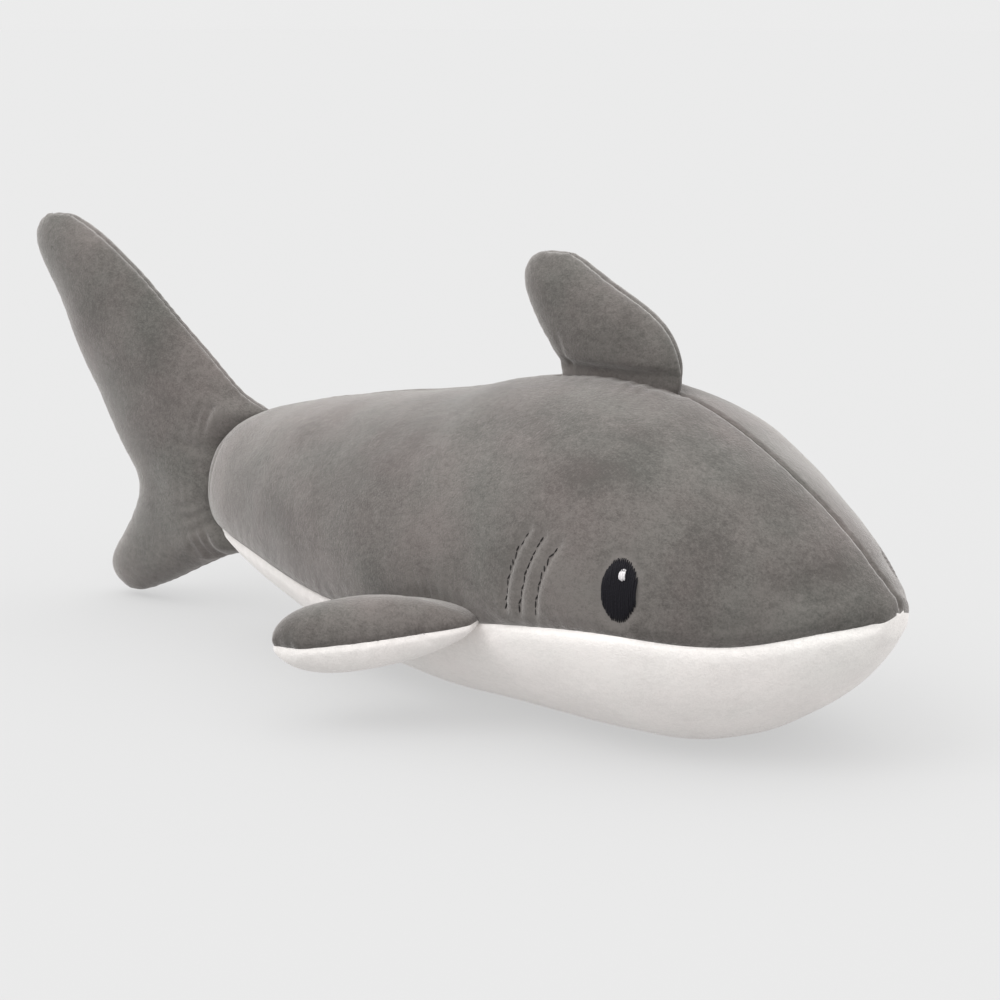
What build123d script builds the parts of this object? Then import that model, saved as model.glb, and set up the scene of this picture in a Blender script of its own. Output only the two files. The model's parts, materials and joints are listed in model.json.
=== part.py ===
from build123d import *
import os

# Plush shark: a stuffed soft toy with sewn-on fins.
#
# Frame: millimetres, +X towards the nose, +Y towards the shark's left, +Z up. The origin is on
# the surface that the toy stands on, under the middle of the flat of its belly.
#
# The torso is three plush panels round one filling: a grey back panel on each side and a white
# belly panel. The tail, the dorsal fin and the two pectoral fins are each two panels round a
# filling of their own, sewn to the torso along a root that bends as a hinge.

# --- driving dimensions ----------------------------------------------------------------------

# Torso sections from the rear end to the nose: place along X, height of the back, height of
# the belly, half of the width. The belly dips under the floor plane and is cut flat there.
TORSO_SECTIONS = [
    (-106.0, 50.0, 28.5, 6.0),
    (-100.0, 55.5, 24.5, 12.0),
    (-78.0, 65.0, 14.5, 22.0),
    (-40.0, 72.0, 4.0, 34.0),
    (0.0, 79.0, -1.2, 41.0),
    (36.0, 84.0, -1.6, 43.0),
    (68.0, 76.5, -0.8, 41.5),
    (91.0, 62.0, 7.5, 29.0),
    (107.0, 48.5, 21.0, 16.5),
    (114.0, 41.0, 31.0, 6.0),
]
WIDEST_SHARE = 0.46  # height of the widest place, as a share of a section's height

# The seam between the back panels and the belly panel, seen from the side: X and Z.
SIDE_SEAM = [
    (-110.0, 28.5),
    (-78.0, 27.0),
    (-41.0, 22.5),
    (-6.0, 23.5),
    (28.0, 28.0),
    (68.0, 32.0),
    (91.0, 31.0),
    (108.0, 35.0),
    (118.0, 37.0),
]

# Fin sections from root to tip: distance along the span, trailing edge, leading edge,
# thickness. The tail is cut at heights Z above the floor, and its edges are places along X,
# as the dorsal fin's are.
TAIL_SECTIONS = [
    (1.8, -147.0, -141.0, 4.0),
    (4.5, -152.5, -134.5, 8.5),
    (9.5, -155.0, -123.5, 12.0),
    (16.0, -151.5, -109.0, 13.5),
    (24.0, -145.5, -96.0, 14.0),
    (33.0, -141.0, -94.0, 14.0),
    (44.0, -146.5, -91.5, 14.0),
    (60.0, -159.0, -92.0, 13.5),
    (77.0, -169.5, -113.0, 13.0),
    (93.0, -178.5, -134.0, 12.5),
    (104.0, -184.5, -151.0, 11.5),
    (109.5, -183.0, -162.0, 8.5),
    (112.3, -178.5, -170.0, 4.5),
]
# The dorsal fin's heights are measured up from the torso's back, under the fin's middle.
DORSAL_SECTIONS = [
    (-8.0, 22.0, 53.0, 3.0),
    (0.0, 18.5, 54.5, 9.5),
    (7.0, 13.5, 53.0, 13.5),
    (14.5, 8.5, 47.0, 14.0),
    (22.0, 6.0, 33.5, 12.5),
    (26.5, 7.5, 25.5, 9.0),
    (29.0, 11.5, 20.0, 4.5),
]
# The pectoral fins' edges are measured forwards from the middle of the root.
PECTORAL_SECTIONS = [
    (-4.0, -14.0, 14.0, 3.0),
    (2.0, -19.0, 14.5, 8.5),
    (8.0, -24.0, 10.0, 13.0),
    (14.0, -28.0, 2.5, 14.5),
    (20.0, -31.5, -6.0, 14.0),
    (24.5, -32.5, -13.5, 11.5),
    (28.0, -30.0, -20.0, 5.5),
]
PECTORAL_ROOT_X = 12.0  # the middle of a pectoral fin's root, which lies on the side seam
PECTORAL_ABOVE_SEAM = 1.5  # the root's height over the side seam
PECTORAL_PITCH = 5.0  # degrees that the root line rises towards the nose
PECTORAL_DROOP = 10.0  # degrees that the fin's plane hangs below level

# Hinges at the roots: where each line is, and how far it bends, in degrees.
TAIL_HINGE_INSET = 1.0  # ahead of the torso's rear end
TAIL_SWING = 25.0
DORSAL_ROOT_X = 36.0
DORSAL_HINGE_INSET = 1.0  # under the torso's back
DORSAL_LEAN = 25.0
PECTORAL_LIFT = 30.0
PECTORAL_DROP = 20.0
# How far from the torso each filling stops, short of the root that its panels close.
TAIL_FILLING_START = 3.5
DORSAL_FILLING_START = 4.5
PECTORAL_FILLING_START = 6.5
SWING_STEPS = 5  # places over a hinge's travel where the root is cut clear of the torso

# Cloth, thread and clearances.
TORSO_WALL = 2.0  # plush fabric with its pile pressed
FIN_WALL = 1.5  # the same fabric, stretched over a small fin
THREAD_WIDTH = 0.8
THREAD_DEPTH = 0.7  # how far a seam thread reaches into the fabric
FIN_THREAD_WIDTH = 0.8
FIN_THREAD_DEPTH = 1.2  # from a fin's edge inwards
ROOT_GAP = 0.6  # between a fin and the torso, over the whole travel
TAIL_STITCH_X = -97.5  # where the gathering thread circles the torso's rear end

# Embroidery: an oval eye with a white glint, and three bowed gill lines on each side.
EYE_PLACE = (66.4, 42.3)
EYE_SIZE = (9.0, 15.2)
EYE_RAISED = 0.8
GLINT_PLACE = (67.0, 45.9)
GLINT_SIZE = (2.4, 3.7)
GILL_TOPS = [(41.0, 53.5), (45.6, 53.0), (50.4, 52.0)]
GILL_BOTTOMS = [(34.4, 33.0), (39.2, 33.0), (44.0, 33.0)]
GILL_BOW = 1.6
GILL_WIDTH = 1.0
GILL_RAISED = 0.4

# Stitches round a fin's root, and the row that closes the belly after filling.
DORSAL_LOOP = (18.5, 3.6)  # half length, half width
PECTORAL_LOOP = (18.5, 4.0)
CLOSING_STITCH = (-72.0, -42.0)  # from X to X along the belly's middle

REACH = 300.0  # of a cutting block, more than the toy measures


# --- places on the torso ---------------------------------------------------------------------


def between(rows, x):
    """A row at a place along X, straight between the two rows on either side."""
    for low, high in zip(rows, rows[1:]):
        if low[0] <= x <= high[0]:
            share = (x - low[0]) / (high[0] - low[0])
            return [a + (b - a) * share for a, b in zip(low, high)]
    raise ValueError(f"{x} is not on the torso")


def half_width_at(x, z):
    """Half of the torso's width at a place along X and a height."""
    _, back, belly, half_width = between(TORSO_SECTIONS, x)
    widest = belly + WIDEST_SHARE * (back - belly)
    reach = back - widest if z > widest else widest - belly
    return half_width * (1 - ((z - widest) / reach) ** 2) ** 0.5


TORSO_REAR = TORSO_SECTIONS[0][0]
DORSAL_ROOT_Z = between(TORSO_SECTIONS, DORSAL_ROOT_X)[1]
PECTORAL_ROOT_Z = between(SIDE_SEAM, PECTORAL_ROOT_X)[1] + PECTORAL_ABOVE_SEAM
PECTORAL_ROOT = (
    PECTORAL_ROOT_X,
    half_width_at(PECTORAL_ROOT_X, PECTORAL_ROOT_Z),
    PECTORAL_ROOT_Z,
)


# --- building blocks -------------------------------------------------------------------------


def torso_section(place, back, belly, half_width, inset):
    """A torso section: four quarter ellipses that meet at the back, the belly and the sides."""
    widest = belly + WIDEST_SHARE * (back - belly)
    across = half_width - inset
    above = back - inset - widest
    below = widest - belly - inset
    quarters = [(above, 0), (above, 90), (below, 180), (below, 270)]
    outline = Wire(
        [
            EllipticalCenterArc((0, widest), across, height, start_angle=start, arc_size=90)
            for height, start in quarters
        ]
    )
    return Plane(origin=(place, 0, 0), x_dir=(0, 1, 0), z_dir=(1, 0, 0)) * Face(outline)


def torso_solid(inset):
    """The whole torso, taken in by inset on every side, or let out where inset is negative."""
    sections = []
    last = len(TORSO_SECTIONS) - 1
    for index, (place, back, belly, half_width) in enumerate(TORSO_SECTIONS):
        end_shift = inset * ((index == 0) - (index == last))
        sections.append(torso_section(place + end_shift, back, belly, half_width, inset))
    above_floor = Pos(0, 0, inset + REACH / 2) * Box(2 * REACH, REACH, REACH)
    return loft(sections) & above_floor


def leaf_solid(sections, edge_inset, face_inset, end_inset):
    """A fin standing on local XY with its span along local Z, lens-shaped in every section."""
    faces = []
    last = len(sections) - 1
    for index, (span, trailing, leading, thickness) in enumerate(sections):
        middle = (trailing + leading) / 2
        half_chord = max((leading - trailing) / 2 - edge_inset, edge_inset / 2)
        half_thick = max(thickness / 2 - face_inset, thickness / 10)
        rear, front = (middle - half_chord, 0), (middle + half_chord, 0)
        outline = Wire(
            [
                ThreePointArc(rear, (middle, half_thick), front),
                ThreePointArc(front, (middle, -half_thick), rear),
            ]
        )
        end_shift = end_inset * ((index == 0) - (index == last))
        faces.append(Pos(0, 0, span + end_shift) * Face(outline))
    return loft(faces)


def above_seam(lift):
    """Everything above the side seam, with the seam moved up by lift."""
    points = [(x, z + lift) for x, z in SIDE_SEAM]
    (rear_x, rear_z), (nose_x, nose_z) = points[0], points[-1]
    outside = Polyline(
        (nose_x, nose_z),
        (REACH, nose_z),
        (REACH, REACH),
        (-REACH, REACH),
        (-REACH, rear_z),
        (rear_x, rear_z),
    )
    return extrude(Plane.XZ * make_face(Spline(*points) + outside), REACH, both=True)


def side_block(sign, start=0.0):
    """Everything on one side of the middle plane, from a distance start outwards."""
    return Pos(0, sign * (start + REACH / 2), 0) * Box(2 * REACH, REACH, 2 * REACH)


def span_block(low, high):
    """Everything between two places along X."""
    return Pos((low + high) / 2, 0, 0) * Box(high - low, 2 * REACH, 2 * REACH)


def beyond_span(start):
    """Everything beyond a height, which is a place along a fin's span."""
    return Pos(0, 0, start + REACH / 2) * Box(2 * REACH, 2 * REACH, REACH)


def oval(length, height):
    return Ellipse(length / 2, height / 2)


def prism_towards(sign, face_at, sketch):
    """A sketch of X and Z run out sideways from the middle plane."""
    x, z = face_at
    return extrude(Pos(x, 0, z) * (Plane.XZ * sketch), -sign * REACH)


def gill_line(top, bottom):
    """A bowed band from top to bottom, in X and Z."""
    edges = []
    for shift in (-GILL_WIDTH / 2, GILL_WIDTH / 2):
        middle_x = (top[0] + bottom[0]) / 2 - GILL_BOW + shift
        middle_z = (top[1] + bottom[1]) / 2
        ends = (top[0] + shift, top[1]), (bottom[0] + shift, bottom[1])
        edges.append(ThreePointArc(ends[0], (middle_x, middle_z), ends[1]))
    rear, front = edges
    closing = Line(rear @ 0, front @ 0) + Line(rear @ 1, front @ 1)
    return make_face(rear + front + closing)


def only_solid(shape):
    """The largest solid of a boolean's result, without its slivers."""
    return max(shape.solids(), key=lambda solid: solid.volume)


def rear_and_front(shape):
    """The two solids of a thread that a fin's root interrupts."""
    largest = sorted(shape.solids(), key=lambda solid: -solid.volume)[:2]
    return sorted(largest, key=lambda solid: solid.center().X)


def save(shape, node):
    shape.label = node
    export_step(shape, f"parts/{node}.step")


# --- torso -----------------------------------------------------------------------------------


def make_torso():
    """The three panels, the filling, the embroidery and every thread on the torso."""
    outside = torso_solid(0)
    lining = torso_solid(TORSO_WALL)
    thread_floor = torso_solid(THREAD_DEPTH)
    half = THREAD_WIDTH / 2
    nodes = {"torso_filling": lining}

    # Stitches round the roots, and inside them the seams stop.
    half_length, half_width = DORSAL_LOOP
    under_fin = Pos(DORSAL_ROOT_X, 0, DORSAL_ROOT_Z / 2)
    dorsal_inside = under_fin * extrude(Ellipse(half_length, half_width), REACH)
    dorsal_outside = under_fin * extrude(
        Ellipse(half_length + THREAD_WIDTH, half_width + THREAD_WIDTH), REACH
    )
    skin = outside - thread_floor
    nodes["dorsal_root_thread"] = skin & (dorsal_outside - dorsal_inside)

    loop_zones = {}
    for side, sign in (("right", -1), ("left", 1)):
        half_length, half_width = PECTORAL_LOOP
        place = (PECTORAL_ROOT_X, PECTORAL_ROOT_Z)
        turned = Rot(0, 0, PECTORAL_PITCH)
        inside = turned * Ellipse(half_length, half_width)
        around = turned * Ellipse(half_length + THREAD_WIDTH, half_width + THREAD_WIDTH)
        loop_zones[side] = prism_towards(sign, place, around)
        loop = loop_zones[side] - prism_towards(sign, place, inside)
        nodes[f"{side}_fin_root_thread"] = skin & loop

    ring_start = TAIL_STITCH_X - half
    ring_end = TAIL_STITCH_X + half
    nodes["tail_root_thread"] = skin & span_block(ring_start, ring_end)

    ahead_of_ring = skin & span_block(ring_end, REACH)
    upper = above_seam(half)
    seam_band = above_seam(-half) - upper
    back_strip = Box(2 * REACH, THREAD_WIDTH, 2 * REACH)
    back_seam = (ahead_of_ring & upper & back_strip) - dorsal_outside
    rear_part, front_part = rear_and_front(back_seam)
    nodes["back_seam_thread_rear"] = rear_part
    nodes["back_seam_thread_front"] = front_part
    belly_seams = ahead_of_ring & seam_band
    for side, sign in (("right", -1), ("left", 1)):
        belly_seam = (belly_seams & side_block(sign)) - loop_zones[side]
        rear_part, front_part = rear_and_front(belly_seam)
        nodes[f"{side}_belly_seam_thread_rear"] = rear_part
        nodes[f"{side}_belly_seam_thread_front"] = front_part

    start, end = CLOSING_STITCH
    belly_strip = Box(2 * REACH, THREAD_WIDTH, 2 * REACH) - above_seam(0)
    nodes["closing_stitch"] = skin & belly_strip & span_block(start, end)

    # The panels, with a groove wherever a thread lies.
    shell = outside - lining
    threads = [shape for node, shape in nodes.items() if "thread" in node or "stitch" in node]
    for shape in threads:
        shell = shell - shape
    whole_seam = above_seam(0)
    backs = shell & whole_seam
    nodes["belly_panel"] = only_solid(shell - whole_seam)
    for side, sign in (("right", -1), ("left", 1)):
        nodes[f"{side}_back_panel"] = only_solid(backs & side_block(sign))

    # Embroidery stands on the fabric.
    raised = torso_solid(-EYE_RAISED) - outside
    raised_gill = torso_solid(-GILL_RAISED) - outside
    for side, sign in (("right", -1), ("left", 1)):
        glint = prism_towards(sign, GLINT_PLACE, oval(*GLINT_SIZE))
        eye = prism_towards(sign, EYE_PLACE, oval(*EYE_SIZE))
        nodes[f"{side}_eye_glint"] = raised & glint
        nodes[f"{side}_eye"] = (raised & eye) - glint
        for number, (top, bottom) in enumerate(zip(GILL_TOPS, GILL_BOTTOMS), start=1):
            line = prism_towards(sign, (0, 0), gill_line(top, bottom))
            nodes[f"{side}_gill_line_{number}"] = raised_gill & line
    return nodes


# --- fins ------------------------------------------------------------------------------------


def turned_copies(solid, hinge, low, high):
    """A solid turned about a hinge to each place over its travel."""
    step = (high - low) / (SWING_STEPS - 1)
    return [solid.rotate(hinge, low + step * index) for index in range(SWING_STEPS)]


def make_fin(sections, place, hinge, low, high, filling_zone):
    """A fin's two panels, its filling and the thread along its edge, clear of the torso."""
    envelope = place * leaf_solid(sections, 0, 0, 0)
    core = only_solid(place * (leaf_solid(sections, 2 * FIN_WALL, FIN_WALL, FIN_WALL) & filling_zone))
    thread_floor = place * leaf_solid(sections, FIN_THREAD_DEPTH, 0, FIN_THREAD_DEPTH)
    # Turning the torso back by each angle is the same as turning the fin forward.
    for solid in turned_copies(torso_solid(-ROOT_GAP), hinge, -high, -low):
        envelope = only_solid(envelope - solid)
    mid_slab = place * Box(2 * REACH, FIN_THREAD_WIDTH, 2 * REACH)
    thread = only_solid((envelope & mid_slab) - thread_floor)
    pieces = {"filling": core, "thread": thread}
    for side, sign in (("negative", -1), ("positive", 1)):
        half = envelope & (place * side_block(sign))
        pieces[side] = only_solid(half - core - thread)
    return pieces


def make_tail():
    hinge = Axis((TORSO_REAR + TAIL_HINGE_INSET, 0, 0), (0, 0, 1))
    filling_zone = span_block(-REACH, TORSO_REAR - TAIL_FILLING_START)
    fin = make_fin(TAIL_SECTIONS, Pos(0, 0, 0), hinge, -TAIL_SWING, TAIL_SWING, filling_zone)
    return {
        "tail_right_panel": fin["negative"],
        "tail_left_panel": fin["positive"],
        "tail_filling": fin["filling"],
        "tail_edge_thread": fin["thread"],
    }


def make_dorsal_fin():
    hinge = Axis((0, 0, DORSAL_ROOT_Z - DORSAL_HINGE_INSET), (1, 0, 0))
    place = Pos(0, 0, DORSAL_ROOT_Z)
    filling_zone = beyond_span(DORSAL_FILLING_START)
    fin = make_fin(DORSAL_SECTIONS, place, hinge, -DORSAL_LEAN, DORSAL_LEAN, filling_zone)
    return {
        "dorsal_fin_right_panel": fin["negative"],
        "dorsal_fin_left_panel": fin["positive"],
        "dorsal_fin_filling": fin["filling"],
        "dorsal_fin_edge_thread": fin["thread"],
    }


def make_pectoral_fins():
    """The left fin, and its mirror image on the right."""
    root = Pos(*PECTORAL_ROOT) * Rot(0, -PECTORAL_PITCH, 0)
    place = root * Rot(-90 - PECTORAL_DROOP, 0, 0)
    direction = (root * Pos(1, 0, 0)).position - root.position
    hinge = Axis(PECTORAL_ROOT, direction)
    filling_zone = beyond_span(PECTORAL_FILLING_START)
    fin = make_fin(PECTORAL_SECTIONS, place, hinge, -PECTORAL_DROP, PECTORAL_LIFT, filling_zone)
    names = {
        "top_panel": "negative",
        "bottom_panel": "positive",
        "filling": "filling",
        "edge_thread": "thread",
    }
    nodes = {}
    for name, key in names.items():
        nodes[f"left_fin_{name}"] = fin[key]
        nodes[f"right_fin_{name}"] = mirror(fin[key], Plane.XZ)
    return nodes


os.makedirs("parts", exist_ok=True)
for make in (make_torso, make_tail, make_dorsal_fin, make_pectoral_fins):
    for node, shape in make().items():
        save(shape, node)
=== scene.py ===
import json
import math

import bmesh
import bpy
from mathutils import Matrix, Vector, noise
from mathutils.bvhtree import BVHTree
from mathutils.kdtree import KDTree


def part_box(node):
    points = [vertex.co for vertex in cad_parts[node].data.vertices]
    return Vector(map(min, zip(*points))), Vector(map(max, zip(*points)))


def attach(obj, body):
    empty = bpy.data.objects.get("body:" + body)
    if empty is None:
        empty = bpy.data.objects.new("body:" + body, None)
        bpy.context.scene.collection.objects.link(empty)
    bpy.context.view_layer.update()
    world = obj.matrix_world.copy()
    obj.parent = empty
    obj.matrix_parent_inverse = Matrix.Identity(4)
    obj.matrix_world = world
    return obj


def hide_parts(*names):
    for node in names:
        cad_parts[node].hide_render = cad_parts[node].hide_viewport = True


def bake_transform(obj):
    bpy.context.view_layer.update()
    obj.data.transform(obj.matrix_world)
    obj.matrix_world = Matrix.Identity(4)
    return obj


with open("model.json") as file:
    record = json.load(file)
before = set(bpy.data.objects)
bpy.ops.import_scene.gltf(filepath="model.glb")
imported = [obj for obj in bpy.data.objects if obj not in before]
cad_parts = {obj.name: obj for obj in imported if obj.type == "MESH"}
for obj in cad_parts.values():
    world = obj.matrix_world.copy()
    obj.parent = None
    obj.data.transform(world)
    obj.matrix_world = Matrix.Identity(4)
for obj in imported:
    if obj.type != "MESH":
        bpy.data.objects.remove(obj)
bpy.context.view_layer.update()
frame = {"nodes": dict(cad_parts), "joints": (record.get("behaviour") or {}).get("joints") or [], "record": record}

bl_info = {
    "name": "Plush Shark Maker",
    "version": (1, 0, 0),
    "blender": (4, 5, 0),
    "location": "View3D > Sidebar > Plush Shark",
    "description": "Sews a stuffed plush shark around its packed frame",
    "category": "Add Mesh",
}

MM = 0.001
ACROSS = Vector((0, 1, 0))
UP = Vector((0, 0, 1))
FORWARD = Vector((1, 0, 0))
SIDES = {"right": -1, "left": 1}


# --- settings --------------------------------------------------------------------------------


class SharkClothSettings(bpy.types.PropertyGroup):
    back_colour: bpy.props.FloatVectorProperty(
        name="Back pile", description="Colour of the grey pile", subtype="COLOR", size=3,
        default=(0.109, 0.100, 0.094), min=0, max=1,
    )
    belly_colour: bpy.props.FloatVectorProperty(
        name="Belly pile", description="Colour of the white pile", subtype="COLOR", size=3,
        default=(0.730, 0.700, 0.680), min=0, max=1,
    )
    eye_colour: bpy.props.FloatVectorProperty(
        name="Eye thread", description="Colour of the eyes' satin stitch", subtype="COLOR", size=3,
        default=(0.004, 0.0035, 0.006), min=0, max=1,
    )
    thickness: bpy.props.FloatProperty(
        name="Cloth", description="Thickness of the fabric under its pile", unit="LENGTH",
        default=1.0 * MM, min=0.2 * MM, max=3 * MM,
    )
    seam_depth: bpy.props.FloatProperty(
        name="Seam depth", description="How far a seam pulls the pile in", unit="LENGTH",
        default=1.1 * MM, min=0, max=4 * MM,
    )
    seam_width: bpy.props.FloatProperty(
        name="Seam width", description="Half width of a seam's groove", unit="LENGTH",
        default=1.5 * MM, min=0.3 * MM, max=6 * MM,
    )


class SharkShapeSettings(bpy.types.PropertyGroup):
    ring_gap: bpy.props.FloatProperty(
        name="Ring gap", description="Distance between the torso's rings", unit="LENGTH",
        default=3.0 * MM, min=2 * MM, max=10 * MM,
    )
    back_lines: bpy.props.IntProperty(
        name="Back lines", description="Strips of each back panel", default=20, min=6, max=40,
    )
    belly_lines: bpy.props.IntProperty(
        name="Belly lines", description="Strips of half of the belly panel", default=8, min=4, max=20,
    )
    fin_lines: bpy.props.IntProperty(
        name="Fin lines", description="Strips across each fin panel", default=16, min=6, max=40,
    )
    tail_lines: bpy.props.IntProperty(
        name="Tail lines", description="Strips across each tail panel", default=26, min=6, max=40,
    )
    pressure: bpy.props.FloatProperty(
        name="Filling", description="Pressure of the filling in the cloth simulation",
        default=4.0, min=0, max=20,
    )
    unevenness: bpy.props.FloatProperty(
        name="Unevenness", description="Height of the filling's soft lumps", unit="LENGTH",
        default=0.9 * MM, min=0, max=4 * MM,
    )


class SharkStitchSettings(bpy.types.PropertyGroup):
    pitch: bpy.props.FloatProperty(
        name="Stitch", description="From one stitch to the next", unit="LENGTH",
        default=2.3 * MM, min=1 * MM, max=6 * MM,
    )
    radius: bpy.props.FloatProperty(
        name="Thread", description="Radius of the sewing thread", unit="LENGTH",
        default=0.24 * MM, min=0.1 * MM, max=1 * MM,
    )
    satin_gap: bpy.props.FloatProperty(
        name="Satin gap", description="Between the eye's neighbouring threads", unit="LENGTH",
        default=0.42 * MM, min=0.2 * MM, max=1 * MM,
    )


class SharkStageSettings(bpy.types.PropertyGroup):
    azimuth: bpy.props.FloatProperty(
        name="Azimuth", description="Camera's turn towards the nose", subtype="ANGLE",
        default=math.radians(40.2),
    )
    elevation: bpy.props.FloatProperty(
        name="Elevation", description="Camera's height angle", subtype="ANGLE",
        default=math.radians(11.65),
    )
    distance: bpy.props.FloatProperty(
        name="Distance", description="From the camera to its target", unit="LENGTH", default=0.6045,
    )
    lens: bpy.props.FloatProperty(
        name="Lens", description="Focal length on a 36 mm sensor", default=83.5, min=10, max=300,
    )
    aim_right: bpy.props.FloatProperty(
        name="Aim across", description="The camera's target, to the right of the origin", unit="LENGTH",
        default=-2.1 * MM,
    )
    aim_up: bpy.props.FloatProperty(
        name="Aim up", description="The camera's target, up from the origin in the picture",
        unit="LENGTH", default=47.1 * MM,
    )
    floor_colour: bpy.props.FloatVectorProperty(
        name="Floor", description="Colour of the floor", subtype="COLOR", size=3,
        default=(0.152, 0.152, 0.152), min=0, max=1,
    )
    floor_glow: bpy.props.FloatProperty(
        name="Floor glow", description="The floor's own even light, which thins the shadow on it",
        default=0.498, min=0, max=1,
    )


# --- shader kit ------------------------------------------------------------------------------


class Value:
    """A number that varies over a surface. Arithmetic on it adds Math nodes."""

    def __init__(self, shader, socket):
        self.shader = shader
        self.socket = socket

    def maths(self, operation, first, second):
        node = self.shader.node("ShaderNodeMath", {"operation": operation}, {0: first, 1: second})
        return Value(self.shader, node.outputs[0])

    def __add__(self, other):
        return self.maths("ADD", self, other)

    def __radd__(self, other):
        return self.maths("ADD", other, self)

    def __sub__(self, other):
        return self.maths("SUBTRACT", self, other)

    def __rsub__(self, other):
        return self.maths("SUBTRACT", other, self)

    def __mul__(self, other):
        return self.maths("MULTIPLY", self, other)

    def __rmul__(self, other):
        return self.maths("MULTIPLY", other, self)


class Shader:
    """A material with one Principled shader, and the one method that adds its other nodes."""

    def __init__(self, name):
        self.material = bpy.data.materials.new(name)
        self.material.use_nodes = True
        self.tree = self.material.node_tree
        self.skin = self.tree.nodes["Principled BSDF"]

    def node(self, kind, settings=None, inputs=None):
        made = self.tree.nodes.new(kind)
        for name, setting in (settings or {}).items():
            if name == "stops":
                for element, (place, colour) in zip(made.color_ramp.elements, setting):
                    element.position = place
                    element.color = colour
            else:
                setattr(made, name, setting)
        for key, source in (inputs or {}).items():
            self.feed(made.inputs[key], source)
        return made

    def feed(self, socket, source):
        if isinstance(source, Value):
            source = source.socket
        if isinstance(source, bpy.types.NodeSocket):
            self.tree.links.new(source, socket)
        else:
            socket.default_value = source

    def value(self, kind, settings=None, inputs=None, output=0):
        return Value(self, self.node(kind, settings, inputs).outputs[output])

    def place(self, stretch=(1, 1, 1)):
        coordinates = self.node("ShaderNodeTexCoord").outputs["Object"]
        return self.node("ShaderNodeMapping", None, {"Vector": coordinates, "Scale": stretch}).outputs[0]

    def clouds(self, size, stretch=(1, 1, 1), detail=2.0, roughness=0.5, distortion=0.0):
        """Noise from 0 to 1 whose blotches are about size across, in metres."""
        return self.value(
            "ShaderNodeTexNoise",
            None,
            {
                "Vector": self.place(stretch),
                "Scale": 1 / size,
                "Detail": detail,
                "Roughness": roughness,
                "Distortion": distortion,
            },
        )

    def blend(self, factor, first, second):
        mixed = self.node(
            "ShaderNodeMix", {"data_type": "RGBA"}, {"Factor": factor, "A": first, "B": second}
        )
        return mixed.outputs["Result"]

    def bump(self, height, distance, strength):
        bumped = self.node(
            "ShaderNodeBump", None, {"Height": height, "Distance": distance, "Strength": strength}
        )
        self.feed(self.skin.inputs["Normal"], bumped.outputs[0])

    def set(self, **numbers):
        for name, number in numbers.items():
            self.feed(self.skin.inputs[name.replace("_", " ").title()], number)


def shade(colour, brightness, tint=(1, 1, 1)):
    return tuple(min(1, c * brightness * t) for c, t in zip(colour, tint)) + (1,)


def pile_material(name, colour, contrast, tint_strength):
    """Short plush pile: brushed patches, fine upright fibres, a soft sheen at grazing angles, and painted sheen
    where the pile is pressed flat.
    """
    shader = Shader(name)
    brushed = shader.clouds(0.040, (1, 1, 0.7), detail=3.0, roughness=0.55, distortion=0.6)
    patches = shader.clouds(0.012, (0.7, 1, 1.2), detail=3.0, roughness=0.6)
    tufts = shader.clouds(0.0016, (0.8, 1, 1.1), detail=3.0, roughness=0.75)
    fibres = shader.clouds(0.00055, (1, 1, 1), detail=3.0, roughness=0.8)
    pressed = shader.value("ShaderNodeAttribute", {"attribute_name": "pressed"}, output="Fac")
    grain = (tufts - 0.5) * 1.7 + (fibres - 0.5) * 2.2
    tone = (brushed - 0.5) * 2.2 + (patches - 0.5) * 1.2 + grain + 0.5
    base = shader.blend(tone, shade(colour, 1 - contrast), shade(colour, 1 + contrast))
    drift = (shader.clouds(0.030, (1, 1.3, 1), detail=3.0, roughness=0.6) - 0.5) * 3.0 + 0.5
    cool = shade(colour, 0.96, (0.93, 1.04, 0.99))
    warm = shade(colour, 1.06, (1.07, 0.98, 0.98))
    base = shader.blend(tint_strength, base, shader.blend(drift, cool, warm))
    # Painted sheen: pile pressed flat round the eyes and along the gills is painted lighter than the rest.
    base = shader.blend(pressed * 0.6, base, shade(colour, 1.55))
    shader.feed(shader.skin.inputs["Base Color"], base)
    shader.set(roughness=0.9 + fibres * 0.1)
    shader.skin.inputs["Specular IOR Level"].default_value = 0.05
    shader.skin.inputs["Sheen Weight"].default_value = 0.65
    shader.skin.inputs["Sheen Roughness"].default_value = 0.4
    shader.skin.inputs["Sheen Tint"].default_value = (1.0, 0.97, 0.95, 1)
    shader.bump(fibres * 0.6 + tufts * 0.4, 0.0006, 0.55)
    return shader.material


def thread_material(name, colour, gloss, contrast=0.25):
    """Twisted thread: fine bands across it, with painted highlight where the twist turns up and painted shade
    between.
    """
    shader = Shader(name)
    twist_and_highlight = shader.clouds(0.0005, (1, 1, 1.4), detail=2.0)
    # Painted highlight and shade: the bands make the thread's colour lighter and darker.
    base = shader.blend(twist_and_highlight, shade(colour, 1 - contrast), shade(colour, 1 + contrast))
    shader.feed(shader.skin.inputs["Base Color"], base)
    shader.set(roughness=gloss + twist_and_highlight * 0.15)
    shader.skin.inputs["Specular IOR Level"].default_value = 0.16
    shader.skin.inputs["Sheen Weight"].default_value = 0.03
    shader.bump(twist_and_highlight, 0.0003, 0.5)
    return shader.material


def filling_material():
    """Loose polyester fibre, seen only where a panel is taken off."""
    shader = Shader("polyester_fibre")
    wisps = shader.clouds(0.004, (1, 0.4, 1), detail=5.0, roughness=0.7, distortion=1.2)
    base = shader.blend(wisps, (0.70, 0.70, 0.68, 1), (0.92, 0.92, 0.90, 1))
    shader.feed(shader.skin.inputs["Base Color"], base)
    shader.set(roughness=0.9 + wisps * 0.1)
    shader.bump(wisps, 0.002, 0.8)
    return shader.material


MATERIALS = {}


def finish_with(piece, material_name):
    piece.data.materials.clear()
    piece.data.materials.append(MATERIALS[material_name])


# --- measuring the frame ---------------------------------------------------------------------


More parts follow.
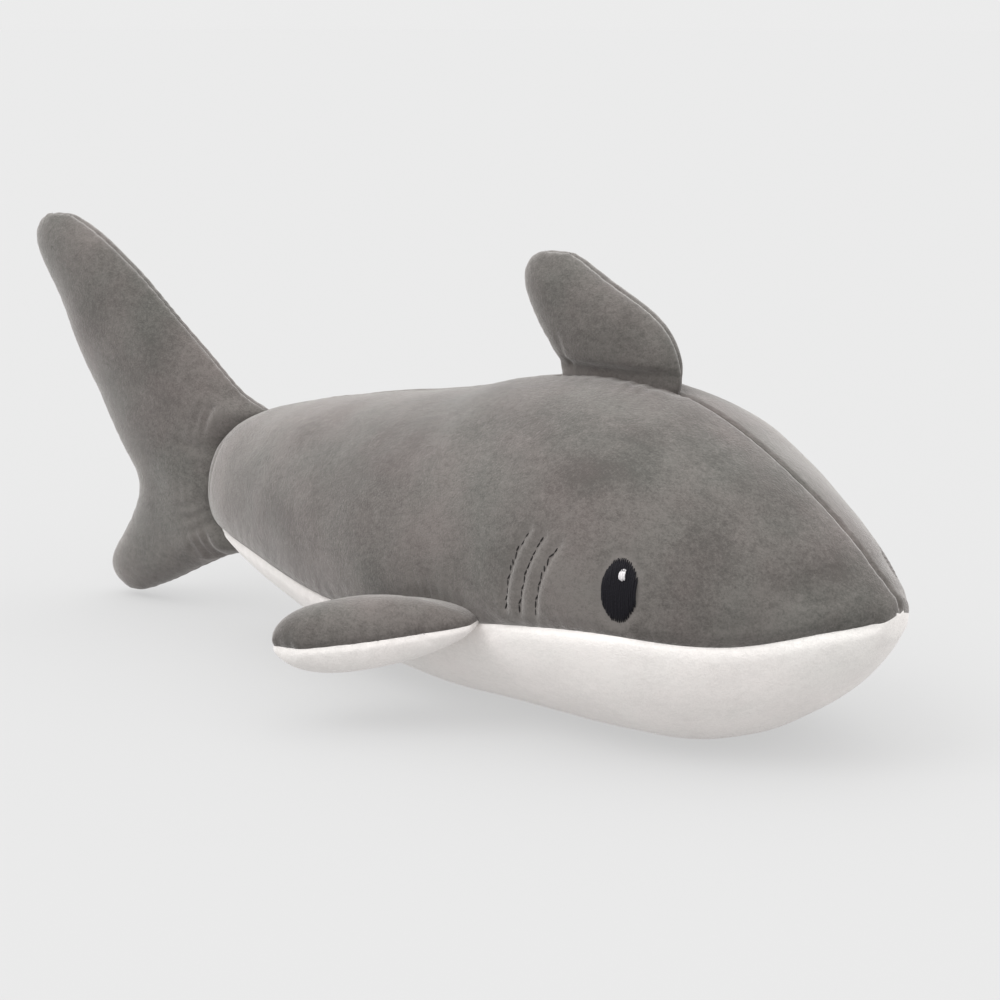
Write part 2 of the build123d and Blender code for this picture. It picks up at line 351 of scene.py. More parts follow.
class Outside:
    """The outside of some CAD nodes or of a finished piece, for rays that look for it."""

    def __init__(self, meshes):
        joined = bmesh.new()
        for mesh in meshes:
            joined.from_mesh(mesh)
        self.tree = BVHTree.FromBMesh(joined)
        joined.free()

    def towards(self, place, direction, reach=0.4):
        """The first place met by a ray that comes from far off, against a direction."""
        return self.tree.ray_cast(place + direction * reach, -direction, reach)[0]

    def nearest(self, place):
        spot, normal, _, _ = self.tree.find_nearest(place)
        return spot, normal


def node_meshes(*names):
    return [frame["nodes"][name].data for name in names]


def nodes_like(body, *words):
    return [n for n in frame["record"]["behaviour"]["bodies"][body] if any(w in n for w in words)]


def centre_line(node, axis, count):
    """The middle of a thin node, from one end to the other along an axis."""
    vertices = [v.co.copy() for v in frame["nodes"][node].data.vertices]
    low = min(v[axis] for v in vertices)
    high = max(v[axis] for v in vertices)
    slice_height = (high - low) / count
    places = []
    for index in range(count):
        start = low + slice_height * index
        inside = [v for v in vertices if start <= v[axis] <= start + slice_height]
        if inside:
            places.append(sum(inside, Vector()) / len(inside))
    return places


def resampled(places, gap):
    """Places evenly spaced along a line of places."""
    result = [places[0].copy()]
    left = gap
    for start, end in zip(places, places[1:]):
        length = (end - start).length
        while length >= left:
            start = start.lerp(end, left / length)
            result.append(start.copy())
            length = (end - start).length
            left = gap
        left -= length
    return result


# --- mesh kit --------------------------------------------------------------------------------


def lofted(rings):
    """A tube through rings of places, extruded from one ring to the next."""
    shape = bmesh.new()
    line = shape.verts.layers.int.new("line")
    first = bmesh.ops.create_circle(shape, segments=len(rings[0]), radius=1)["verts"]
    for index, vertex in enumerate(first):
        vertex[line] = index
        vertex.co = rings[0][index]
    edges = list(shape.edges)
    for ring in rings[1:]:
        grown = bmesh.ops.extrude_edge_only(shape, edges=edges)["geom"]
        moved = {g for g in grown if isinstance(g, bmesh.types.BMVert)}
        edges = [
            g for g in grown
            if isinstance(g, bmesh.types.BMEdge) and g.verts[0] in moved and g.verts[1] in moved
        ]
        for vertex in moved:
            vertex.co = ring[vertex[line]]
    return shape


def as_piece(shape, name):
    """A bmesh made into an object with smooth faces that point outwards."""
    mesh = bpy.data.meshes.new(name)
    for face in shape.faces:
        face.smooth = True
    shape.to_mesh(mesh)
    shape.free()
    piece = bpy.data.objects.new(name, mesh)
    bpy.context.scene.collection.objects.link(piece)
    return piece


def settle(piece):
    """The piece's modifiers worked into its mesh."""
    bpy.context.view_layer.update()
    depsgraph = bpy.context.evaluated_depsgraph_get()
    mesh = bpy.data.meshes.new_from_object(piece.evaluated_get(depsgraph))
    old = piece.data
    piece.modifiers.clear()
    piece.data = mesh
    bpy.data.meshes.remove(old)


def subdivide(piece, levels):
    modifier = piece.modifiers.new("Smooth", "SUBSURF")
    modifier.levels = levels
    modifier.render_levels = levels
    settle(piece)


def swell(piece, held, limit, pressure):
    """The filling's pressure on the cloth, simulated. Held vertices stay, others move up to limit."""
    scene = bpy.context.scene
    before = [v.co.copy() for v in piece.data.vertices]
    group = piece.vertex_groups.new(name="held")
    for index, weight in held.items():
        group.add([index], weight, "REPLACE")
    cloth = piece.modifiers.new("Cloth", "CLOTH")
    cloth.settings.quality = 6
    cloth.settings.mass = 0.15
    cloth.settings.vertex_group_mass = "held"
    cloth.settings.pin_stiffness = 1.0
    cloth.settings.tension_stiffness = 12
    cloth.settings.compression_stiffness = 12
    cloth.settings.shear_stiffness = 4
    cloth.settings.bending_stiffness = 0.4
    cloth.settings.use_pressure = True
    cloth.settings.uniform_pressure_force = pressure
    cloth.settings.effector_weights.gravity = 0
    cloth.collision_settings.use_collision = False
    cloth.point_cache.frame_start = 1
    cloth.point_cache.frame_end = 20
    for number in range(1, 21):
        scene.frame_set(number)
    settle(piece)
    scene.frame_set(1)
    for vertex, start in zip(piece.data.vertices, before):
        move = vertex.co - start
        if move.length > limit:
            vertex.co = start + move.normalized() * limit
    piece.vertex_groups.clear()


def wobble(place, size, seed):
    """A smooth number from about -1 to 1 that varies over a size in metres."""
    return noise.noise(place / size + Vector((seed, seed * 1.7, -seed)))


class Crease:
    """A line that pulls the cloth in along itself, with small puckers across it, and where asked a painted sheen
    on the pile it presses flat.
    """

    def __init__(self, places, depth, width, pucker=0.0, pucker_gap=4.5 * MM, pressed=0.0):
        dense = resampled(places, 0.5 * MM)
        self.tree = KDTree(len(dense))
        for index, place in enumerate(dense):
            self.tree.insert(place, index)
        self.tree.balance()
        self.depth, self.width = depth, width
        self.pucker, self.pucker_gap, self.pressed = pucker, pucker_gap, pressed

    def pull(self, place):
        """How far a place is pulled in, and how much painted sheen its pressed pile gets."""
        _, index, distance = self.tree.find(place)
        if distance > 6 * self.width:
            return 0.0, 0.0
        share = distance / self.width
        groove = math.exp(-share * share)
        pull = self.depth * groove
        if self.pucker:
            along = index * 0.5 * MM
            phase = along / self.pucker_gap + 1.3 * wobble(place, 14 * MM, 5.0)
            strength = 0.6 + 0.8 * wobble(place, 17 * MM, 9.0)
            fade = math.exp(-share / 2.2) * (1 - 0.6 * groove)
            pull += self.pucker * strength * fade * math.cos(2 * math.pi * phase)
        return pull, self.pressed * math.exp(-(share / 1.6) ** 2)


class Patch:
    """A round or oval place where embroidery presses the pile flat, with a painted sheen on that pile where asked.
    """

    def __init__(self, centre, half_length, half_height, depth, rim, pressed):
        self.centre, self.depth, self.rim, self.pressed = centre, depth, rim, pressed
        self.half_length, self.half_height = half_length, half_height

    def pull(self, place):
        offset = place - self.centre
        if offset.length > 30 * MM:
            return 0.0, 0.0
        radius = math.hypot(offset.x / self.half_length, offset.z / self.half_height)
        beyond = (radius - 1) * (self.half_length + self.half_height) / 2
        inside = 1 / (1 + math.exp(max(-30, min(30, (beyond - self.rim) / (self.rim * 0.28)))))
        return self.depth * inside, self.pressed * inside


SOFT_DEPTH = 1.0 * MM  # as far as cloth can be pulled in before it meets the filling


def work_in(piece, features, lumps, seed, floor=True):
    """Pulls the cloth in at its seams and stitches, and gives the filling its soft lumps."""
    mesh = piece.data
    # Painted sheen mask: how much lighter the pile is painted where seams and stitches press it flat.
    pressed = mesh.attributes.get("pressed") or mesh.attributes.new("pressed", "FLOAT", "POINT")
    normals = [v.normal.copy() for v in mesh.vertices]
    for vertex, normal in zip(mesh.vertices, normals):
        place = vertex.co.copy()
        move = lumps * (wobble(place, 34 * MM, seed) + 0.35 * wobble(place, 12 * MM, seed + 3))
        sheen_mark = 0.0
        for feature in features:
            pull, press = feature.pull(place)
            move -= pull
            sheen_mark = max(sheen_mark, press)
        vertex.co = place + normal * max(move, -SOFT_DEPTH)
        if floor and vertex.co.z < 0:
            vertex.co.z = 0
        pressed.data[vertex.index].value = sheen_mark
    mesh.update()


def split_panels(piece, names, thickness, fold):
    """One object for each panel, with its raw edge folded into the seam and a real thickness."""
    panels = []
    for index, name in enumerate(names):
        shape = bmesh.new()
        shape.from_mesh(piece.data)
        others = [f for f in shape.faces if f.material_index != index]
        bmesh.ops.delete(shape, geom=others, context="FACES")
        for face in shape.faces:
            face.material_index = 0
        shape.normal_update()
        rim = [e for e in shape.edges if e.is_boundary]
        shape.verts.index_update()
        inwards = {v.index: v.normal.copy() for e in rim for v in e.verts}
        source = shape.verts.layers.int.new("source")
        for edge in rim:
            for vertex in edge.verts:
                vertex[source] = vertex.index
        grown = bmesh.ops.extrude_edge_only(shape, edges=rim)["geom"]
        for vertex in (g for g in grown if isinstance(g, bmesh.types.BMVert)):
            vertex.co -= inwards[vertex[source]] * fold
        panel = as_piece(shape, name)
        wall = panel.modifiers.new("Cloth thickness", "SOLIDIFY")
        wall.thickness = thickness
        wall.offset = -1
        panels.append(panel)
    bpy.data.objects.remove(piece)
    return panels


# --- torso -----------------------------------------------------------------------------------


class Torso:
    """Where the torso's rings, seams and rear rim are, measured on the CAD panels."""

    def __init__(self, shape):
        trims = nodes_like("torso", "panel", "seam_thread", "root_thread", "closing_stitch")
        self.outside = Outside(node_meshes(*trims))
        self.belly = Outside(node_meshes("belly_panel"))
        low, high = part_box("right_back_panel")
        self.rear, self.nose = low[0], high[0]
        self.rear_stitch = sum(box[0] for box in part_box("tail_root_thread")) / 2
        self.shape = shape
        self.rings = self.make_rings()

    def seam_height(self, x, low, high):
        """The belly panel's upper edge, found by rays from the left side."""
        for _ in range(12):
            middle = (low + high) / 2
            if self.belly.towards(Vector((x, 0, middle)), ACROSS):
                low = middle
            else:
                high = middle
        return low

    def ring(self, x):
        top = self.outside.towards(Vector((x, 0, 0)), UP).z
        bottom = self.outside.towards(Vector((x, 0, 0.1)), -UP).z
        middle = Vector((x, 0, (top + bottom) / 2))
        seam_z = self.seam_height(x, bottom, middle.z)
        seam = self.outside.towards(Vector((x, 0, seam_z)), ACROSS) or Vector((x, 0, bottom))
        seam_angle = max(-1.45, math.atan2(seam.z - middle.z, seam.y))
        backs, bellies = self.shape.back_lines, self.shape.belly_lines
        half = []
        for index in range(backs + bellies + 1):
            if index <= backs:
                angle = math.pi / 2 + (seam_angle - math.pi / 2) * (index / backs) ** 1.2
            else:
                angle = seam_angle + (-math.pi / 2 - seam_angle) * (index - backs) / bellies
            direction = Vector((0, math.cos(angle), math.sin(angle)))
            half.append(self.outside.towards(middle, direction))
        right = [Vector((p.x, -p.y, p.z)) for p in half]
        right[0].y = 0
        right[-1].y = 0
        return right + [half[index] for index in range(len(half) - 2, 0, -1)]

    def make_rings(self):
        length = self.nose - self.rear
        count = round(length / self.shape.ring_gap)
        inset = 0.4 * MM
        places = [self.rear + inset + (length - 2 * inset) * i / count for i in range(count + 1)]
        rings = [self.ring(x) for x in places]
        rear, nose = rings[0], rings[-1]
        return self.turned_in(rear) + rings + self.rounded(nose)

    def turned_in(self, ring):
        """The rear rim's cloth turned inwards, where the tail goes in."""
        steps = ((0.34, 6.0), (0.5, 2.5), (0.72, 0.2), (0.88, -0.6))
        return [self.shrunk(ring, share, depth * MM) for share, depth in steps]

    def rounded(self, ring):
        """The nose's last rings, on a quarter of an ellipse."""
        steps = [math.radians(angle) for angle in (25, 45, 62, 76)]
        return [self.shrunk(ring, math.cos(a), 1.9 * MM * math.sin(a)) for a in steps]

    def shrunk(self, ring, share, shift):
        middle = sum(ring, Vector()) / len(ring)
        return [middle + (place - middle) * share + FORWARD * shift for place in ring]


def close_ends(shape, count):
    """Each open end of a tube filled with a fan round its middle."""
    rims = [e for e in shape.edges if e.is_boundary]
    filled = bmesh.ops.holes_fill(shape, edges=rims, sides=count + 1)["faces"]
    bmesh.ops.poke(shape, faces=filled)


def eye_patch(side):
    low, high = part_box(f"{side}_eye")
    centre = (Vector(low) + Vector(high)) / 2
    # The pile under and round the eye is pressed in and gets a painted sheen.
    return Patch(
        centre, (high[0] - low[0]) / 2, (high[2] - low[2]) / 2, 0.9 * MM, 1.1 * MM, 0.9
    )


def loop_line(node, count, axis_a, axis_b):
    """A closed line through a root stitch's loop, on the axes that it is an oval in."""
    low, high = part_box(node)
    centre = (Vector(low) + Vector(high)) / 2
    vertices = [v.co.copy() for v in frame["nodes"][node].data.vertices]
    places = []
    for index in range(count + 1):
        angle = 2 * math.pi * index / count
        target = centre.copy()
        target[axis_a] += (high[axis_a] - low[axis_a]) / 2 * math.cos(angle)
        target[axis_b] += (high[axis_b] - low[axis_b]) / 2 * math.sin(angle)
        places.append(min(vertices, key=lambda v: (v - target).length).copy())
    return places


ROOTS = {  # the body whose root each ring of stitches goes round
    "dorsal_root_thread": "dorsal_fin",
    "left_fin_root_thread": "left_fin",
    "right_fin_root_thread": "right_fin",
}
SEWN = {}  # what a later operator needs of the torso and of each fin
SPANS = {}  # for each fin, a start and an end point from the torso out into it


class SHARK_OT_torso(bpy.types.Operator):
    """Sews the torso: two grey back panels and the white belly panel round the filling"""

    bl_idname = "shark.torso"
    bl_label = "Torso"

    def execute(self, context):
        cloth, shape = context.scene.shark_cloth, context.scene.shark_shape
        torso = Torso(shape)
        rings = torso.rings
        body = lofted(rings)
        line = body.verts.layers.int["line"]
        close_ends(body, len(rings[0]))
        right_seam = shape.back_lines
        left_seam = right_seam + 2 * shape.belly_lines
        total = len(rings[0])
        for face in body.faces:
            numbers = [v[line] for v in face.verts]
            if face.calc_center_median().x > torso.nose or face.calc_center_median().x < torso.rear:
                numbers = [n for n in numbers if n] or [0]
            middle = sum(numbers) / len(numbers)
            if max(numbers) - min(numbers) > total / 2:
                middle = total - 0.5
            if middle < right_seam:
                face.material_index = 0
            elif middle < left_seam:
                face.material_index = 2
            else:
                face.material_index = 1
        bmesh.ops.recalc_face_normals(body, faces=body.faces)
        seam_lines = {0, right_seam, left_seam}
        body.verts.index_update()
        held = {v.index: 1.0 if v[line] in seam_lines or v.co.z < 1 * MM else 0.25 for v in body.verts}
        piece = as_piece(body, "torso")
        swell(piece, held, 2.0 * MM, shape.pressure)
        subdivide(piece, 2)

        back_seam = [ring[0] for ring in rings if ring[0].x > torso.rear_stitch]
        sides = {
            "right": [ring[right_seam] for ring in rings[:-4]],
            "left": [ring[left_seam] for ring in rings[:-4]],
        }
        depth, width = cloth.seam_depth, cloth.seam_width
        features = [Crease(back_seam, depth * 0.55, width * 0.5, 0.15 * MM)]
        for side in SIDES:
            features.append(Crease(sides[side], depth, width, 0.25 * MM))
            features.append(eye_patch(side))
            for number in (1, 2, 3):
                gill = centre_line(f"{side}_gill_line_{number}", 2, 12)
                # The gill grooves press the pile flat, and it gets a painted sheen along them.
                features.append(Crease(gill, 1.0 * MM, 1.0 * MM, 0.1 * MM, 1.7 * MM, pressed=0.9))
            root = loop_line(f"{side}_fin_root_thread", 40, 0, 2)
            features.append(Crease(root, 0.5 * MM, 1.6 * MM, 0.3 * MM, 5 * MM))
        root = loop_line("dorsal_root_thread", 40, 0, 1)
        features.append(Crease(root, 0.5 * MM, 1.6 * MM, 0.4 * MM, 5 * MM))
        for shift, strength in ((0, 1.0), (-3.4 * MM, 0.8), (-6.2 * MM, 0.55)):
            x = torso.rear_stitch + shift
            ring = torso.ring(x)
            features.append(Crease(ring + ring[:1], 0.5 * MM * strength, 1.3 * MM, 0.15 * MM, 6 * MM))
        dimple = torso.outside.towards(Vector((torso.nose - 10 * MM, 0, 44 * MM)), -ACROSS)
        features.append(Patch(dimple, 2.5 * MM, 2.0 * MM, 0.7 * MM, 2.5 * MM, 0.0))
        work_in(piece, features, shape.unevenness, 2.0)
        SEWN["torso"] = Outside([piece.data])
        SEWN["torso_measures"] = torso

        names = ["right_back_panel", "left_back_panel", "belly_panel"]
        cloths = split_panels(piece, [n + "_cloth" for n in names], cloth.thickness, 1.0 * MM)
        for panel, name in zip(cloths, names):
            white = name == "belly_panel"
            shade_name = "white" if white else "grey"
            finish_with(panel, f"{shade_name}_pile")
            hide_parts(name)
            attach(panel, "torso")
        return {"FINISHED"}


# --- fins ------------------------------------------------------------------------------------

TAIL_STATIONS = 52  # rings from the lower tip of the tail to the upper one
FIN_STATIONS = 20
THINNEST_HALF = 1.2 * MM  # least half thickness of a filled fin
PECTORAL_PLUMP = 1.25  # the pectoral fins' fullness over that of their frame

# Rings past a tip's last one: how far in mm, and the shares of its chord and thickness.
TIP_RINGS = ((0.30, 0.86, 0.7), (0.48, 0.6, 0.0))

# Rings tucked into the torso: how far in, and the shares of the root's chord and thickness.
DORSAL_ROOTS = ((2.5 * MM, 1.0, 1.0), (5.5 * MM, 0.97, 0.92), (8 * MM, 0.9, 0.75))
PECTORAL_ROOTS = ((3 * MM, 0.98, 0.8), (6 * MM, 0.9, 0.6), (9 * MM, 0.8, 0.4))


class FinPlan:
    """A fin's plane and outline, measured on its CAD panels."""

    def __init__(self, body, origin, chord, span):
        self.origin, self.chord, self.span = origin, chord, span
        self.across = span.cross(chord).normalized()
        self.outside = Outside(node_meshes(*nodes_like(body, "panel", "edge_thread")))
        reaches = [
            (v.co - origin).dot(span)
            for name in nodes_like(body, "panel")
            for v in frame["nodes"][name].data.vertices
        ]
        self.low, self.high = min(reaches), max(reaches)

    def place(self, along, outward, lift=0.0):
        return self.origin + self.chord * along + self.span * outward + self.across * lift

    def edges(self, outward):
        """The trailing and leading edges at a place along the span, or None beyond them."""
        reach = 0.3
        lead = self.outside.tree.ray_cast(self.place(reach, outward), -self.chord)[0]
        trail = self.outside.tree.ray_cast(self.place(-reach, outward), self.chord)[0]
        if lead is None or trail is None:
            return None
        return (trail - self.origin).dot(self.chord), (lead - self.origin).dot(self.chord)

    def thickness(self, along, outward):
        top = self.outside.towards(self.place(along, outward), self.across)
        return abs((top - self.place(along, outward)).dot(self.across)) if top else 0.0


def fin_ring(plan, outward, trail, lead, half_thick, lines, fullness=0.55):
    """A closed section: from the trailing edge over one side to the leading edge and back."""
    near, far = [], []
    for index in range(lines + 1):
        share = 0.5 - 0.5 * math.cos(math.pi * index / lines)
        along = trail + (lead - trail) * share
        crown = (1 - abs(2 * share - 1) ** 2.3) ** fullness
        near.append(plan.place(along, outward, half_thick * crown))
        far.append(plan.place(along, outward, -half_thick * crown))
    return near + far[-2:0:-1]


def tip_ring(plan, row, beyond, chord, thin, lines):
    """A ring past a tip's last one, with a smaller chord and thickness."""
    outward, trail, lead, thick = row
    middle, half = (trail + lead) / 2, (lead - trail) / 2 * chord
    return fin_ring(plan, outward + beyond, middle - half, middle + half, thick * thin, lines)


def fin_rings(plan, lines, stations, root_rings, closed=False, plump=1.0):
    """Rings from a fin's root to its tip, which is closed; the low end is closed too where asked."""
    rings = []
    low, high = plan.low, plan.high
    margin = 0.5 * MM
    table = []
    for index in range(stations + 1):
        outward = low + margin + (high - low - 2 * margin) * index / stations
        edges = plan.edges(outward)
        if edges is None or edges[1] - edges[0] < 2 * MM:
            continue
        thick = max(plan.thickness(edges[0] + (edges[1] - edges[0]) * s, outward) for s in (0.4, 0.5, 0.6))
        thick = max(thick * plump, THINNEST_HALF)
        table.append((outward, edges[0], edges[1], thick))
    for outward, trail, lead, thick in table:
        rings.append(fin_ring(plan, outward, trail, lead, thick, lines))
    first, last = table[0], table[-1]
    for beyond, chord, thin in TIP_RINGS:
        rings.append(tip_ring(plan, last, beyond * MM, chord, thin, lines))
        if closed:
            rings.insert(0, tip_ring(plan, first, -beyond * MM, chord, thin, lines))
    for shift, shrink, thin in root_rings:
        outward, trail, lead, thick = first
        middle, half = (trail + lead) / 2, (lead - trail) / 2 * shrink
        rings.insert(0, fin_ring(plan, outward - shift, middle - half, middle + half, thick * thin, lines))
    return rings, table


def sew_fin(plan, rings, lines, name, panels, cloth, shape, seed, wrinkles, closed=False):
    """A fin's two panels from its rings: swollen, creased at its seam, and split at its edge."""
    body = lofted(rings)
    line = body.verts.layers.int["line"]
    for face in body.faces:
        numbers = [v[line] for v in face.verts]
        if max(numbers) - min(numbers) > lines:
            numbers = [n if n else 2 * lines for n in numbers]
        face.material_index = 0 if sum(numbers) / len(numbers) < lines else 1
    bmesh.ops.remove_doubles(body, verts=body.verts, dist=0.02 * MM)
    bmesh.ops.recalc_face_normals(body, faces=body.faces)
    body.verts.index_update()
    held = {}
    for vertex in body.verts:
        edge = len({f.material_index for f in vertex.link_faces}) > 1
        held[vertex.index] = 0.9 if edge or vertex.is_boundary else 0.05
    piece = as_piece(body, name)
    swell(piece, held, 2.2 * MM, shape.pressure)
    subdivide(piece, 2)
    leading = [ring[lines] for ring in rings]
    trailing = [ring[0] for ring in rings]
    around = trailing + rings[-1][1:lines] + leading[::-1]
    if closed:
        around += rings[0][lines - 1::-1]
    features = [Crease(around, 0.5 * MM, 0.9 * MM, 0.25 * MM, 4.2 * MM)] + wrinkles
    work_in(piece, features, shape.unevenness * 0.5, seed, floor=False)
    root = min(rings, key=lambda ring: (plan.origin - ring[0]).length)
    SEWN[name] = (Outside([piece.data]), around, root)
    return split_panels(piece, panels, 0.4 * cloth.thickness, 0.3 * MM)


def dress_fin(panels, nodes, slots, body, start, end):
    """Each panel's finish, with the start and end of a line from the torso out into the fin."""
    SPANS[body] = (start, end)
    for panel, node, slot in zip(panels, nodes, slots):
        finish_with(panel, "white_pile" if slot == "white_plush" else "grey_pile")
        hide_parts(node)
        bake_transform(panel)


def joint_named(name):
    return next(j for j in frame["joints"] if j["name"] == name)


class SHARK_OT_tail(bpy.types.Operator):
    """Sews the tail's two panels, with its root tucked into the torso's rear rim"""

    bl_idname = "shark.tail"
    bl_label = "Tail"

    def execute(self, context):
        cloth, shape = context.scene.shark_cloth, context.scene.shark_shape
        torso = SEWN["torso_measures"]
        plan = FinPlan("tail", Vector((-0.13, 0, 0)), FORWARD, UP)
        lines = shape.tail_lines
        rings, _ = fin_rings(plan, lines, TAIL_STATIONS, (), closed=True)
        tuck = 9 * MM
        for ring in rings:
            lead = ring[lines]
            near_root = torso.outside.nearest(lead)[0]
            closeness = math.exp(-(((near_root - lead).length - 0.5 * MM) / (4 * MM)) ** 2)
            for place in ring:
                share = (place.x - ring[0].x) / max(lead.x - ring[0].x, 1e-6)
                place.x += tuck * closeness * share ** 3
                behind = max(0.0, torso.rear - place.x)
                level = math.exp(-(((place.z - 40 * MM) / (19 * MM)) ** 4))
                place.y *= 1 + 0.5 * level * math.exp(-behind / (11 * MM))
        hinge = Vector(joint_named("tail_swing")["pos_m"])
        wrinkles = []
        for shift, strength in ((3.5, 1.0), (6.8, 0.8), (10.5, 0.5)):
            rim = [
                Vector((torso.rear - shift * MM + 0.010 / MM * (z * MM - 40 * MM) ** 2, 0, z * MM))
                for z in range(18, 64, 2)
            ]
            for sign in (-1, 1):
                line = [plan.outside.towards(place, ACROSS * sign) or place for place in rim]
                line = [place + ACROSS * sign * 2.5 * MM for place in line]
                wrinkles.append(Crease(line, 1.1 * MM * strength, 1.3 * MM, 0.3 * MM, 7 * MM))
        panels = sew_fin(
            plan, rings, lines, "tail", ["tail_left_panel_cloth", "tail_right_panel_cloth"],
            cloth, shape, 6.0, wrinkles, closed=True,
        )
        nodes = ["tail_left_panel", "tail_right_panel"]
        start = (hinge.x + 6 * MM, 0, hinge.z)
        end = (hinge.x - 22 * MM, 0, hinge.z)
        dress_fin(panels, nodes, ["grey_plush"] * 2, "tail", start, end)
        return {"FINISHED"}


def root_wrinkles(plan, table, reach, depth):
    """Short gathers that run outwards from a fin's root, on both of its sides."""
    _, trail, lead, _ = table[0]
    gathers = []
    for share in (0.18, 0.34, 0.52, 0.68, 0.84):
        along = trail + (lead - trail) * share
        for side in (-1, 1):
            line = []
            for step in range(6):
                outward = table[0][0] + reach * (0.5 + 0.4 * math.sin(share * 23)) * step / 5
                spot = plan.outside.towards(plan.place(along - outward * 0.3, outward), plan.across * side)
                if spot:
                    line.append(spot)
            if len(line) > 1:
                gathers.append(Crease(line, depth, 1.0 * MM))
    return gathers


class SHARK_OT_dorsal_fin(bpy.types.Operator):
    """Sews the dorsal fin's two panels onto the torso's back"""

    bl_idname = "shark.dorsal_fin"
    bl_label = "Dorsal Fin"

    def execute(self, context):
        cloth, shape = context.scene.shark_cloth, context.scene.shark_shape
        joint = joint_named("dorsal_fin_lean")
        hinge = Vector(joint["pos_m"])
        plan = FinPlan("dorsal_fin", Vector((hinge.x, 0, 0)), FORWARD, UP)
        plan.low = hinge.z + 2.5 * MM
        lines = shape.fin_lines
        rings, table = fin_rings(plan, lines, FIN_STATIONS, DORSAL_ROOTS)
        wrinkles = root_wrinkles(plan, table, 11 * MM, 0.55 * MM)
        panels = sew_fin(
            plan, rings, lines, "dorsal_fin",
            ["dorsal_fin_left_panel_cloth", "dorsal_fin_right_panel_cloth"], cloth, shape, 8.0, wrinkles,
        )
        nodes = ["dorsal_fin_left_panel", "dorsal_fin_right_panel"]
        start = (hinge.x, 0, hinge.z - 1 * MM)
        end = (hinge.x, 0, hinge.z + 9 * MM)
        dress_fin(panels, nodes, ["grey_plush"] * 2, "dorsal_fin", start, end)
        return {"FINISHED"}


class SHARK_OT_pectoral_fins(bpy.types.Operator):
    """Sews both pectoral fins: a grey panel on top and a white one underneath"""

    bl_idname = "shark.pectoral_fins"
    bl_label = "Pectoral Fins"

    def execute(self, context):
        cloth, shape = context.scene.shark_cloth, context.scene.shark_shape
        lines = shape.fin_lines
        for side, sign in SIDES.items():
            body = f"{side}_fin"
            joint = joint_named(f"{side}_fin_flap")
            hinge = Vector(joint["pos_m"])
            chord = Vector(joint["axis"]).normalized() * sign
            tip = max(
                (v.co for v in frame["nodes"][f"{side}_fin_edge_thread"].data.vertices),
                key=lambda place: (place - hinge).cross(chord).length,
            )
            span = tip - hinge
            span = (span - chord * span.dot(chord)).normalized()
            plan = FinPlan(body, hinge, chord, span)
            plan.low = 3 * MM
            rings, table = fin_rings(plan, lines, FIN_STATIONS, PECTORAL_ROOTS, plump=PECTORAL_PLUMP)
            wrinkles = root_wrinkles(plan, table, 12 * MM, 0.5 * MM)
            over = "top" if plan.across.z > 0 else "bottom"
            under = "bottom" if over == "top" else "top"
            nodes = [f"{body}_{over}_panel", f"{body}_{under}_panel"]
            panels = sew_fin(
                plan, rings, lines, body, [n + "_cloth" for n in nodes], cloth, shape, 3.0 + sign, wrinkles,
            )
            slots = ["grey_plush" if "top" in n else "white_plush" for n in nodes]
            start = tuple(plan.place(0, -2 * MM))
            end = tuple(plan.place(0, 10 * MM))
            dress_fin(panels, nodes, slots, body, start, end)
        return {"FINISHED"}


# --- stitches --------------------------------------------------------------------------------


def add_stitch(shape, start, end, radius):
    """One stitch: a short rounded length of thread from start to end."""
    along = end - start
    turn = along.to_track_quat("Z", "Y").to_matrix().to_4x4()
    size = Matrix.Diagonal((radius, radius, along.length / 2 + radius * 0.4, 1))
    matrix = Matrix.Translation((start + end) / 2) @ turn @ size
    bmesh.ops.create_uvsphere(shape, u_segments=8, v_segments=6, radius=1, matrix=matrix)


def stitch_row(places, skin, pitch, radius, depth, share=0.66):
    """Running stitches along a line, sunk into the skin by a depth."""
    shape = bmesh.new()
    spots = resampled(places, pitch)
    for start, end in zip(spots, spots[1:]):
        end = start.lerp(end, share)
        ends = []
        for place in (start, end):
            spot, normal = skin.nearest(place)
            ends.append(spot - normal * depth)
        if (ends[1] - ends[0]).length > 0.2 * MM:
            add_stitch(shape, ends[0], ends[1], radius)
    return shape


def place_stitches(shape, node, material_name, body, span=None):
    piece = as_piece(shape, node + "_stitches")
    finish_with(piece, material_name)
    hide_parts(node)
    if span:
        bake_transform(piece)
    else:
        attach(piece, body)
    return piece


class SHARK_OT_seam_threads(bpy.types.Operator):
    """Sews the rows of stitches that lie in the seams and round the fins' roots"""

    bl_idname = "shark.seam_threads"
    bl_label = "Seam Threads"

    def execute(self, context):
        stitch = context.scene.shark_stitch
        skin = SEWN["torso"]
        pitch, radius = stitch.pitch, stitch.radius
        for node in nodes_like("torso", "back_seam_thread", "belly_seam_thread", "closing_stitch"):
            line = centre_line(node, 0, 60)
            white = "belly" in node or "closing" in node
            row = stitch_row(line, skin, pitch, radius, 0.4 * MM)
            slot = "white_thread" if white else "grey_thread"
            place_stitches(row, node, slot, "torso")
        for node in nodes_like("torso", "root_thread"):
            if node.startswith("tail"):
                torso = SEWN["torso_measures"]
                ring = torso.ring(torso.rear_stitch)
                line = ring + ring[:1]
            else:
                line = SEWN[ROOTS[node]][2]
                line = [skin.nearest(place)[0] for place in line + line[:1]]
            row = stitch_row(line, skin, pitch, radius, 0.3 * MM)
            place_stitches(row, node, "grey_thread", "torso")
        for body in ("tail", "dorsal_fin", "left_fin", "right_fin"):
            fin_skin, around, _ = SEWN[body]
            row = stitch_row(around, fin_skin, pitch, radius, 0.3 * MM)
            node = f"{body}_edge_thread"
            place_stitches(row, node, "grey_thread", body, SPANS[body])
        return {"FINISHED"}


